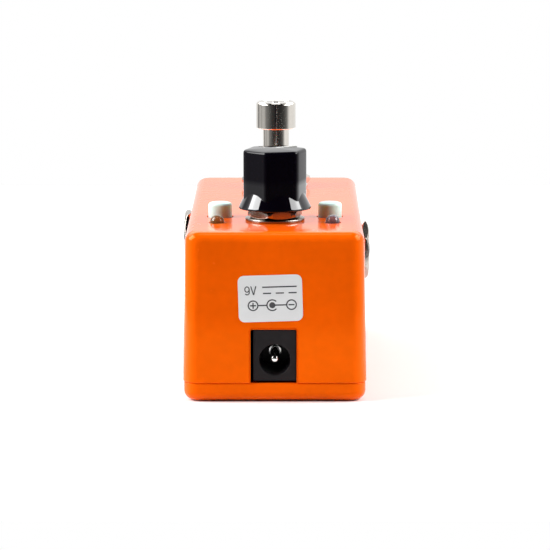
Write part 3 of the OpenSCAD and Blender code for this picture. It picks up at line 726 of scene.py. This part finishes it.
def make_base():
    """The base: small lip radius at the seam, quarter round below, a shallow channel
    along the underside and countersinks for the screws."""
    half_w, half_l = BASE_HIGH[0], BASE_HIGH[1]
    levels = [(i, r + EDGE_R) for i, r in arc(EDGE_R, 0, EDGE_R, 270, 180, STEPS_LARGE)]
    levels += [(SEAM_EDGE + i, SEAM + r) for i, r in arc(0, -SEAM_EDGE, SEAM_EDGE, 180, 90, 6)]
    rows = [(half_w - i, half_l - i, CORNER_R - 0.18 - min(i, CORNER_R - 0.5), z) for i, z in levels]
    base = Shape().capped(loft(rows, 13)).object("base_shell")
    inner_w, inner_l = HALF_W - WALL - 0.5, HALF_L - WALL - 0.5
    pocket = Shape().capped(loft([(inner_w, inner_l, 1.6, 2.2), (inner_w, inner_l, 1.6, SEAM + 1)]))
    pocket = pocket.object("tool")
    high = span("base_screws")[1]
    screw_x, screw_y = high[0] - SCREW_HEAD_R, high[1] - SCREW_HEAD_R
    spots = [(sx * screw_x, sy * screw_y) for sx in (-1, 1) for sy in (-1, 1)]
    for x, y in spots:
        rod = turned([(0, 1), (SCREW_POST_R, 1), (SCREW_POST_R, SEAM + 2), (0, SEAM + 2)], 32)
        cut(pocket, Shape().grid(moved(rod, (x, y, 0))).object("tool"))
    cut(base, pocket)
    half = CHANNEL_W / 2
    slot = [
        (-half - 1, -2.0), (-half, CHANNEL_D - 0.08), (-half + 0.1, CHANNEL_D),
        (half - 0.1, CHANNEL_D), (half, CHANNEL_D - 0.08), (half + 1, -2.0),
    ]
    ends = [np.array([(x, y, z) for x, z in slot]) for y in (-HALF_L - 2, HALF_L + 2)]
    cut(base, Shape().capped(np.stack(ends)).object("tool"))
    sink_low, sink_high = 0.15, 1.15    # the cone's ends above the underside
    for x, y in spots:
        sink = turned([
            (0, -1), (SCREW_SINK_R, -1), (SCREW_SINK_R - 0.12, sink_low), (SCREW_HOLE_R, sink_high),
            (SCREW_HOLE_R, SEAM + 1), (0, SEAM + 1),
        ], 40)
        cut(base, Shape().grid(moved(sink, (x, y, 0))).object("tool"))
    return replace(base, "base_shell", "base_plate", sharp=math.radians(32))


make_box()
make_base()

# ---------- rating label

LABEL_AT = np.array([-0.9, lean_at(22.0) - HALF_L, 22.0])
LABEL_HALF = (6.7, 4.9)
LABEL_THICK = 0.12
LABEL_TURN = math.radians(1.7)


def on_label(points):
    """Carries (across, up, out) on the label to its place on the leaning end wall."""
    lean = math.atan(LEAN)
    c, s = math.cos(LABEL_TURN), math.sin(LABEL_TURN)
    across = np.array([c, 0, 0]) + s * np.array([0, math.sin(lean), math.cos(lean)])
    up = np.array([-s, 0, 0]) + c * np.array([0, math.sin(lean), math.cos(lean)])
    out = np.array([0, -math.cos(lean), math.sin(lean)])
    points = np.asarray(points, float)
    return LABEL_AT + points[..., :1] * across + points[..., 1:2] * up + points[..., 2:3] * out


def ribbon(shape, line, width, closed=False):
    """A flat stroke of ink along a line of (across, up) points: each point is moved half
    the width to either side along the line's normal."""
    line = np.asarray(line, float)
    if closed:
        tangent = np.roll(line, -1, 0) - np.roll(line, 1, 0)
    else:
        tangent = np.gradient(line, axis=0)
    tangent /= np.linalg.norm(tangent, axis=1, keepdims=True)
    side = np.stack([-tangent[:, 1], tangent[:, 0]], 1) * width / 2
    low, high = LABEL_THICK - 0.02, LABEL_THICK + 0.012
    ring = [np.column_stack([line + s * side, np.full(len(line), z)])
            for s, z in ((1, low), (1, high), (-1, high), (-1, low))]
    points = np.stack(ring, 1)
    rows = len(line)
    faces = grid_faces(rows, 4, closed).tolist()
    if not closed:
        faces += [[3, 2, 1, 0], [4 * rows - 4, 4 * rows - 3, 4 * rows - 2, 4 * rows - 1]]
    shape.add(on_label(points), faces)


def make_label():
    """The film as lofted levels with a softened upper edge, and its marks as ink strokes."""
    levels = [(*LABEL_HALF, 1.3, 0.0), (*LABEL_HALF, 1.3, LABEL_THICK - 0.04),
              (LABEL_HALF[0] - 0.015, LABEL_HALF[1] - 0.015, 1.29, LABEL_THICK - 0.01),
              (LABEL_HALF[0] - 0.05, LABEL_HALF[1] - 0.05, 1.25, LABEL_THICK)]
    replace(Shape().capped(on_label(loft(levels, 9))), "rating_film", "rating_label")

    ink = Shape()
    stroke = 0.27
    thin = 0.23
    # direct current: a line over three dashes
    ribbon(ink, [(-1.64, 2.40), (5.56, 2.40)], stroke)
    for start in (-1.5, 1.17, 3.83):
        ribbon(ink, [(start, 1.09), (start + 1.7, 1.09)], stroke)
    # polarity: plus ring, socket ring round a pin, minus ring
    row, plus_x, pin_x, minus_x = -1.43, -3.64, 0.37, 4.37
    for x in (plus_x, minus_x):
        ribbon(ink, arc(x, row, 1.0, 0, 352.5, 48), stroke, True)
        ribbon(ink, [(x - 0.62, row), (x + 0.62, row)], stroke)
    ribbon(ink, [(plus_x, row - 0.62), (plus_x, row + 0.62)], stroke)
    ribbon(ink, arc(pin_x, row, 1.12, 42, 318, 40), stroke)
    ribbon(ink, arc(pin_x, row, 0.32, 0, 345, 24), 0.64, True)
    ribbon(ink, [(plus_x + 1.1, row), (pin_x - 1.1, row)], stroke)
    ribbon(ink, [(pin_x + 0.5, row), (minus_x - 1.1, row)], stroke)
    # 9 V in plain strokes
    low, high, left = 0.84, 2.60, -5.28
    loop = arc(0, 0, 1, 0, 352.5, 36) * (0.45, 0.56) + (left + 0.48, high - 0.58)
    ribbon(ink, loop, thin, True)
    tail = np.concatenate([[(left + 0.93, high - 0.58), (left + 0.93, low + 0.52)],
                           arc(left + 0.48, low + 0.52, 0.45, 0, -150, 14)[1:]])
    ribbon(ink, tail, thin)
    ribbon(ink, [(-4.0, high + 0.08), (-3.48, low - 0.02)], thin)
    ribbon(ink, [(-3.46, low - 0.02), (-2.94, high + 0.08)], thin)
    piece(ink, "rating_marks", MATERIALS["label_ink"])


make_label()

# ---------- power jack


def make_power_jack():
    """The jack's block with softened edges, its round hole with a lead-in, the contact
    slot above it, behind the face; and the pin with its collar, split at the top."""
    low, high = span("dc_jack_housing")
    hole = centre("dc_jack_pin")
    edge = 0.18
    half_x, half_z = (high[0] - low[0]) / 2, (high[2] - low[2]) / 2
    depth = high[1] - low[1]
    nearly = edge * 0.3
    levels = [
        (half_x - edge, half_z - edge, 0.15, 0.0), (half_x - nearly, half_z - nearly, 0.2, -nearly),
        (half_x, half_z, 0.25, -edge), (half_x, half_z, 0.25, -depth),
    ]
    mid_x, _, mid_z = (low + high) / 2
    block = moved(along_minus_y(loft(levels, 5)), (mid_x, low[1], mid_z))
    block = Shape().capped(block).object("power_block")
    hole_r, hole_depth = 3.25, 11.0
    lead = 0.25
    bore = np.concatenate([
        [(0, -hole_depth), (hole_r, -hole_depth)], arc(hole_r + lead, -lead, lead, 180, 92, 5),
        [(hole_r + lead + 0.02, 1.0), (0, 1.0)]
    ])
    bore = moved(along_minus_y(turned(bore, 96)), (hole[0], low[1], hole[2]))
    cut(block, Shape().grid(bore).object("tool"))
    face_lip, slot_up = 1.2, 1.95
    slot = loft([(1.15, 2.0, 0.1, -hole_depth + 0.5), (1.15, 2.0, 0.1, -face_lip)], 3)
    slot = moved(along_minus_y(slot), (hole[0], low[1], hole[2] + slot_up))
    cut(block, Shape().capped(slot).object("tool"))
    replace(block, "power_block", "dc_jack_housing")

    pin_low, pin_high = span("dc_jack_pin")
    pin_r, collar_r, collar_t = 1.0, 1.5, 0.8
    tip = arc(0, -pin_r, pin_r, 90, 0, 9)
    length = pin_high[1] - pin_low[1]
    collar_back = -(low[1] + hole_depth - pin_low[1])
    collar_front = collar_back + collar_t
    rod = [
        (pin_r, -1.5), (pin_r, collar_front), (collar_r, collar_front), (collar_r, collar_back),
        (pin_r, collar_back), (pin_r, -length), (0.0, -length),
    ]
    path = np.concatenate([tip, soften(rod, [0.05, 0.3, 0.05, 0.05, 0.1], 5)[:, 0]])
    pin = moved(along_minus_y(turned(path, 64)), (hole[0], pin_low[1], hole[2]))
    pin = Shape().grid(pin).object("power_pin")
    gap = loft([(0.32, 0.4, 0.05, collar_back - 0.3), (0.32, 0.4, 0.05, collar_back + 1.2)], 3)
    gap_up = 1.45
    gap = moved(along_minus_y(gap), (hole[0], pin_low[1], hole[2] + gap_up))
    cut(pin, Shape().capped(gap).object("tool"))
    replace(pin, "power_pin", "dc_jack_pin")


make_power_jack()

# ---------- signal jacks


def make_signal_jack(side, name, turn):
    """Threaded bushing with a chamfered mouth, and its nut, on one side wall."""
    _, y, z = centre(f"{name}_bushing")
    nut_low, nut_high = span(f"{name}_nut")
    reach = max(abs(end[0]) for end in span(f"{name}_bushing"))
    nut_x = sorted(abs(v) for v in (nut_low[0], nut_high[0]))

    def out(points):
        """Turns a shape drawn along z outwards, on the jack's axis."""
        return moved(along_x(points, side), (0, y, z))

    flange_back, sleeve_back = 16.05, 11.8
    sleeve = Shape().grid(out(threaded(4.7, 3.25, sleeve_back, reach, 0.8, 0.28, 0.35, 96)))
    sleeve.grid(out(washer(6.2, 4.4, flange_back, HALF_W - WALL, 0.15)))
    replace(sleeve, f"{name}_sleeve", f"{name}_bushing")
    replace(Shape().grid(out(nut(5.54, 4.7, *nut_x, turn, 0.22))), f"{name}_hex", f"{name}_nut")


make_signal_jack(1, "output_jack", 0)
make_signal_jack(-1, "input_jack", 27)

# ---------- potentiometer above the top face

POT = centre("pot_bushing")
PIVOT = (POT[0], POT[1], 0)


def make_pot_hardware():
    """The threaded bushing, the washer and the nut that hold the potentiometer."""
    low, high = span("pot_bushing")
    replace(Shape().grid(moved(threaded(3.5, 3.05, low[2], high[2], 0.75, 0.24, 0.2, 80), PIVOT)),
            "pot_thread", "pot_bushing")
    low, high = span("pot_washer")
    replace(Shape().grid(moved(washer(6.35, 3.55, low[2], high[2], 0.18), PIVOT)), "pot_ring", "pot_washer")
    low, high = span("pot_nut")
    replace(Shape().grid(moved(nut(5.24, 3.5, low[2], high[2], 16.2, 0.2), PIVOT)), "pot_hex", "pot_nut")


make_pot_hardware()

# ---------- knob

GRIP_R = 6.9         # over the rounded corners
GRIP_FLAT = 6.2
GRIP_TURN = 13.6
KNOB_CROWN = 0.22    # how far the top's rim is below its middle
SKIRT_R = 7.72
SKIRT_LIP = 0.4
CONE_TOP = 5.97      # height above the top face where the skirt's cone meets the flats' middles


def grip_outline(turn, columns=288, crown=0.05, blend=0.16):
    """Angles and radii of the grip: in each direction the smooth minimum of the corner
    circle's radius and the distance to the flat, flat / cos(a), where the flat bulges by
    `crown` at its middle. min(p, q) = (p + q - sqrt((p - q)^2 + blend^2)) / 2."""
    angles = np.linspace(0, 2 * np.pi, columns, endpoint=False)
    sixth = math.radians(60)
    a = (angles - math.radians(turn) + math.pi / 2 + sixth / 2) % sixth - sixth / 2
    flat = (GRIP_FLAT - crown * (np.tan(a) / math.tan(sixth / 2)) ** 2) / np.cos(a)
    radius = (GRIP_R + flat - np.sqrt((GRIP_R - flat) ** 2 + blend ** 2)) / 2
    return angles, radius


def make_knob():
    """A six-sided grip on a conical skirt. In each direction the outline goes up the cone
    until the cone's radius equals the grip's, and then straight up the flat, so that the
    cone cuts an arch into every flat."""
    low, high = span("knob_cap")
    z0, z1 = low[2], high[2]
    insert_r, insert_top = 4.2, span("knob_insert")[1][2]
    angles, radius = grip_outline(GRIP_TURN)
    n = len(angles)
    flat = GRIP_FLAT
    cone_bottom = z0 + SKIRT_LIP
    cone_top = TOP + CONE_TOP
    meet = cone_bottom + (SKIRT_R - radius) / (SKIRT_R - flat) * (cone_top - cone_bottom)
    path = columns_of(
        n,
        (0.0, insert_top), (insert_r, insert_top), (insert_r, z0 + 1.2), (6.2, z0 + 1.2), (6.2, z0),
        (SKIRT_R, z0), (SKIRT_R, cone_bottom), (radius, meet), (radius, z1 - KNOB_CROWN),
        (radius - 2.0, z1 - KNOB_CROWN * 0.45), (radius - 4.5, z1 - KNOB_CROWN * 0.08), (0.0, z1),
    )
    path = soften(path, [0, 0, 0.1, 0.1, 0.12, 0.12, 0.12, 0.75, 0.9, 0.9], 8)
    body = Shape().grid(moved(turned(path, angles=angles), PIVOT)).object("knob_body")
    replace(body, "knob_body", "knob_cap", "knob", sharp=math.radians(40))


def make_pointer():
    """Grey line let into one flat and the top: a bar with rounded edges that follows
    both, standing 0.02 mm proud."""
    flat = GRIP_FLAT
    z1 = span("knob_cap")[1][2]
    proud = 0.02
    bar = Shape()
    upright = loft([(0.45, 0.16, 0.08, TOP + CONE_TOP + 0.6), (0.45, 0.16, 0.08, z1 - 0.1)], 5)
    bar.capped(moved(upright, (0, -flat + 0.16 - proud, 0)))
    across = loft([(0.45, (flat - 0.4) / 2, 0.4, z1 - 0.3), (0.45, (flat - 0.4) / 2, 0.4, z1 + 0.008),
                   (0.43, (flat - 0.4) / 2 - 0.02, 0.38, z1 + proud)], 7)
    bar.capped(moved(across, (0, -(flat + 0.4) / 2, 0)))
    turn = math.radians(GRIP_TURN + 120)
    c, s = math.cos(turn), math.sin(turn)
    bar.points = [moved(p @ np.array([[c, s, 0], [-s, c, 0], [0, 0, 1]]), PIVOT) for p in bar.points]
    replace(bar, "pointer_line", "knob_pointer", "knob")


make_knob()
make_pointer()

# ---------- push buttons and lamps


def make_button(side):
    """A turned cap with a rounded rim and a slightly crowned top, a flange below."""
    low, high = span(f"{side}_button_cap")
    x, y, _ = centre(f"{side}_button_cap")
    r, flange_r, crown = 2.55, 3.2, 0.12
    z0, z1 = low[2], high[2]
    rim = 0.62
    shoulder = arc(r - rim, z1 - crown - rim, rim, 0, 84, 10)
    path = np.concatenate([
        [(0, z0), (flange_r, z0), (flange_r, z0 + 1.2), (r, z0 + 1.2)], shoulder,
        [(1.0, z1 - 0.02), (0, z1)]
    ])
    cap = Shape().grid(moved(turned(path, 80), (x, y, 0)))
    replace(cap, f"{side}_button_lens", f"{side}_button_cap", f"{side}_button")


def make_lamp(side):
    """A 3 mm lamp: flange, barrel and dome, with the cup and posts of its lead frame inside."""
    low, high = span(f"{side}_led")
    x, y, _ = centre(f"{side}_led")
    z0, z1 = low[2], high[2]
    r = 1.5
    path = np.concatenate([
        [(0, z0), (1.9, z0), (1.9, z0 + 1.0), (r, z0 + 1.05)], arc(0, z1 - r, r, 0, 90, 16)
    ])
    replace(Shape().grid(moved(turned(path, 64), (x, y, 0))), f"{side}_lamp_dome", f"{side}_led")
    frame_parts = Shape()
    cup_z = z1 - 2.6
    cup_foot = cup_z - 0.9
    cup = [
        (0, cup_foot), (0.62, cup_foot), (0.72, cup_z), (0.55, cup_z), (0.3, cup_z - 0.35),
        (0, cup_z - 0.35),
    ]
    frame_parts.grid(moved(turned(cup, 32), (x - 0.25, y, 0)))
    for post_x, post_top in ((x - 0.45, cup_foot), (x + 0.8, cup_z - 0.3)):
        post = loft([(0.22, 0.22, 0.03, z0 + 0.1), (0.22, 0.22, 0.03, post_top)], 2)
        frame_parts.capped(moved(post, (post_x, y, 0)))
    piece(frame_parts, f"{side}_lamp_frame", MATERIALS["tinned_contacts"])


for hand in ("left", "right"):
    make_button(hand)
    make_lamp(hand)

# ---------- footswitch

FOOT = centre("footswitch_bushing")
FOOT_AT = (FOOT[0], FOOT[1], 0)


def make_footswitch():
    """Turned cap with a chamfered rim and fine rings on its top, stem, threaded bushing,
    nut and washer."""
    low, high = span("footswitch_cap")
    z0, z1, r = low[2], high[2], 4.55
    rings = [(3.9, z1 - 0.02), (3.55, z1 - 0.12), (3.3, z1 - 0.12)]
    rings += [(3.3 - 0.2 * i, z1 - 0.12 - 0.02 * (i % 2)) for i in range(1, 11)]
    path = np.concatenate([
        soften([(0, z0), (r, z0), (r, z1 - 0.4), (r - 0.4, z1), (3.9, z1)], [0.25, 0.1, 0.1], 5)[:, 0],
        rings, [(1.0, z1 - 0.14), (0.85, z1 - 0.3), (0, z1 - 0.32)]
    ])
    cap = Shape().grid(moved(turned(path, 128), FOOT_AT))
    replace(cap, "foot_cap", "footswitch_cap", "footswitch_button", sharp=math.radians(30))

    low, high = span("footswitch_stem")
    z0, z1 = low[2], high[2]
    stem_r, collar_r, play = 3.0, 4.4, 0.04
    collar = span("footswitch_spring")[1][2]
    under, over = collar + play, collar + 1
    path = [
        (0, z0), (stem_r, z0), (stem_r, under), (collar_r, under), (collar_r, over),
        (stem_r, over), (stem_r, z1), (0, z1),
    ]
    path = soften(path, [0.3, 0.1, 0.15, 0.15, 0.1, 0.02])
    stem = Shape().grid(moved(turned(path, 96), FOOT_AT))
    replace(stem, "foot_stem", "footswitch_stem", "footswitch_button")

    low, high = span("footswitch_bushing")
    thread = Shape().grid(moved(threaded(6.0, 3.05, low[2], high[2], 1.0, 0.4, 0.5, 96), FOOT_AT))
    replace(thread, "foot_thread", "footswitch_bushing")
    low, high = span("footswitch_top_nut")
    top_nut = Shape().grid(moved(nut(7.0, 6.0, low[2], high[2], 12, 0.25), FOOT_AT))
    replace(top_nut, "foot_hex", "footswitch_top_nut")
    low, high = span("footswitch_top_washer")
    ring = Shape().grid(moved(washer(7.3, 6.05, low[2], high[2], 0.15), FOOT_AT))
    replace(ring, "foot_ring", "footswitch_top_washer")


make_footswitch()

# ---------- stage, light and camera


FLOOR_LOW, FLOOR_HIGH = (-0.14, -0.15), (0.14, 0.30)    # metres


def make_floor():
    """A small white floor: one flat rectangle at the height 0."""
    paint = Recipe("floor_white", (0.76, 0.76, 0.76), Roughness=0.6, Specular_IOR_Level=0.2)
    (x0, y0), (x1, y1) = FLOOR_LOW, FLOOR_HIGH
    data = bpy.data.meshes.new("floor")
    data.from_pydata([(x0, y0, 0.0), (x1, y0, 0.0), (x1, y1, 0.0), (x0, y1, 0.0)], [], [(0, 1, 2, 3)])
    floor = bpy.data.objects.new("floor", data)
    bpy.context.scene.collection.objects.link(floor)
    data.materials.append(paint.material)


make_floor()

SOFTBOX_SIZE = (0.52, 0.62)          # metres
SOFTBOX_DISTANCE = 0.9
SOFTBOX_ELEVATION = math.radians(36)
LIT_POINT = np.array([0, 0, 0.03])   # the point that both softboxes face


def softbox(name, azimuth, radiance):
    """A soft rectangular light: azimuth in degrees from -Y towards +X. Its power is
    radiance * area * pi, so that `radiance` is what a mirror shows of it."""
    a, e = math.radians(azimuth), SOFTBOX_ELEVATION
    way = np.array([math.sin(a) * math.cos(e), -math.cos(a) * math.cos(e), math.sin(e)])
    place = way * SOFTBOX_DISTANCE
    data = bpy.data.lights.new(name, "AREA")
    data.shape = "RECTANGLE"
    data.size, data.size_y = SOFTBOX_SIZE
    data.energy = radiance * SOFTBOX_SIZE[0] * SOFTBOX_SIZE[1] * math.pi
    thing = bpy.data.objects.new(name, data)
    thing.location = place
    thing.rotation_euler = Vector(LIT_POINT - place).to_track_quat("-Z", "Y").to_euler()
    bpy.context.scene.collection.objects.link(thing)


softbox("left_light", -81, 13.0)
softbox("right_light", 81, 8.6)

# Brightness round the horizon: 0 and 1 are behind the pedal, 0.5 is off its power end
ROUND_HORIZON = [
    (0.00, 1.2), (0.12, 1.05), (0.145, 0.25), (0.17, 0.4), (0.205, 0.8), (0.235, 0.5), (0.27, 0.7),
    (0.31, 0.6), (0.33, 0.30), (0.37, 0.20), (0.41, 0.10), (0.44, 0.05), (0.50, 0.03), (0.58, 0.035),
    (0.63, 0.07), (0.66, 0.14), (0.69, 0.28), (0.72, 0.85), (0.745, 1.15), (1.00, 1.2),
]
# By the sine of the elevation: how the horizon's light fades, and where the ceiling is lit
HORIZON_FADE = [(0.0, 1.0), (0.42, 1.0), (0.62, 0.05), (1.0, 0.03)]
CEILING_BAND = [(0.0, 0.0), (0.40, 0.0), (0.50, 1.0), (0.76, 1.0), (0.86, 0.01), (0.965, 0.01), (0.985, 1.0)]
CEILING_BACK = [(0.44, 0.0), (0.50, 1.0)]
CEILING_LIGHT = 3.6


def set_world():
    """Brightness = horizon(azimuth) * fade(height) + ceiling, and the ceiling is a band high
    behind the pedal and a patch over it. It is dark off the power end, where the camera
    stands, and plain white where the camera sees it directly."""
    world = bpy.data.worlds.new("studio")
    bpy.context.scene.world = world
    world.use_nodes = True
    tree = Tree(world.node_tree)

    def ramp(value, stops):
        """A grey ramp through (place, brightness) stops."""
        greys = [(place, (shade, shade, shade)) for place, shade in stops]
        return tree.node("ShaderNodeValToRGB", {"stops": greys}, {0: value})

    way = tree.node("ShaderNodeTexCoord", out="Generated")
    split = tree.node("ShaderNodeSeparateXYZ", inputs={0: way})
    x, y, z = (Wire(tree, socket) for socket in split.socket.node.outputs)
    azimuth = tree.node("ShaderNodeMath", {"operation": "ARCTAN2"}, {0: x, 1: y * -1.0})
    horizon = ramp(azimuth * (0.5 / math.pi) + 0.5, ROUND_HORIZON) * ramp(z, HORIZON_FADE)
    ceiling = ramp(z, CEILING_BAND) * ramp(y * 0.5 + 0.5, CEILING_BACK) * CEILING_LIGHT
    around = tree.node("ShaderNodeBackground", inputs={"Strength": horizon + ceiling})
    seen = tree.node("ShaderNodeBackground", inputs={"Color": (1.0, 1.0, 1.0, 1.0)})
    direct = tree.node("ShaderNodeLightPath", out="Is Camera Ray")
    either = tree.node("ShaderNodeMixShader", inputs={0: direct, 1: around, 2: seen})
    tree.set("Surface", either, tree.nodes["World Output"])


set_world()


def set_camera():
    """The camera stands off the power end, a little above, looking down along +Y."""
    distance, height, across = 626.4, 128.07, 2.97
    pitch, yaw, roll = 0.16, -0.0044, 0.0013
    sensor, focus = 36.0, 199.8
    data = bpy.data.cameras.new("camera")
    data.sensor_width = sensor
    data.lens = focus
    data.clip_start, data.clip_end = 0.01, 20
    camera = bpy.data.objects.new("camera", data)
    camera.location = (across * MM, (-HALF_L - distance) * MM, height * MM)
    camera.rotation_euler = (math.pi / 2 - pitch, roll, -yaw)
    bpy.context.scene.collection.objects.link(camera)
    bpy.context.scene.camera = camera


set_camera()
bpy.context.scene.view_settings.view_transform = "Standard"
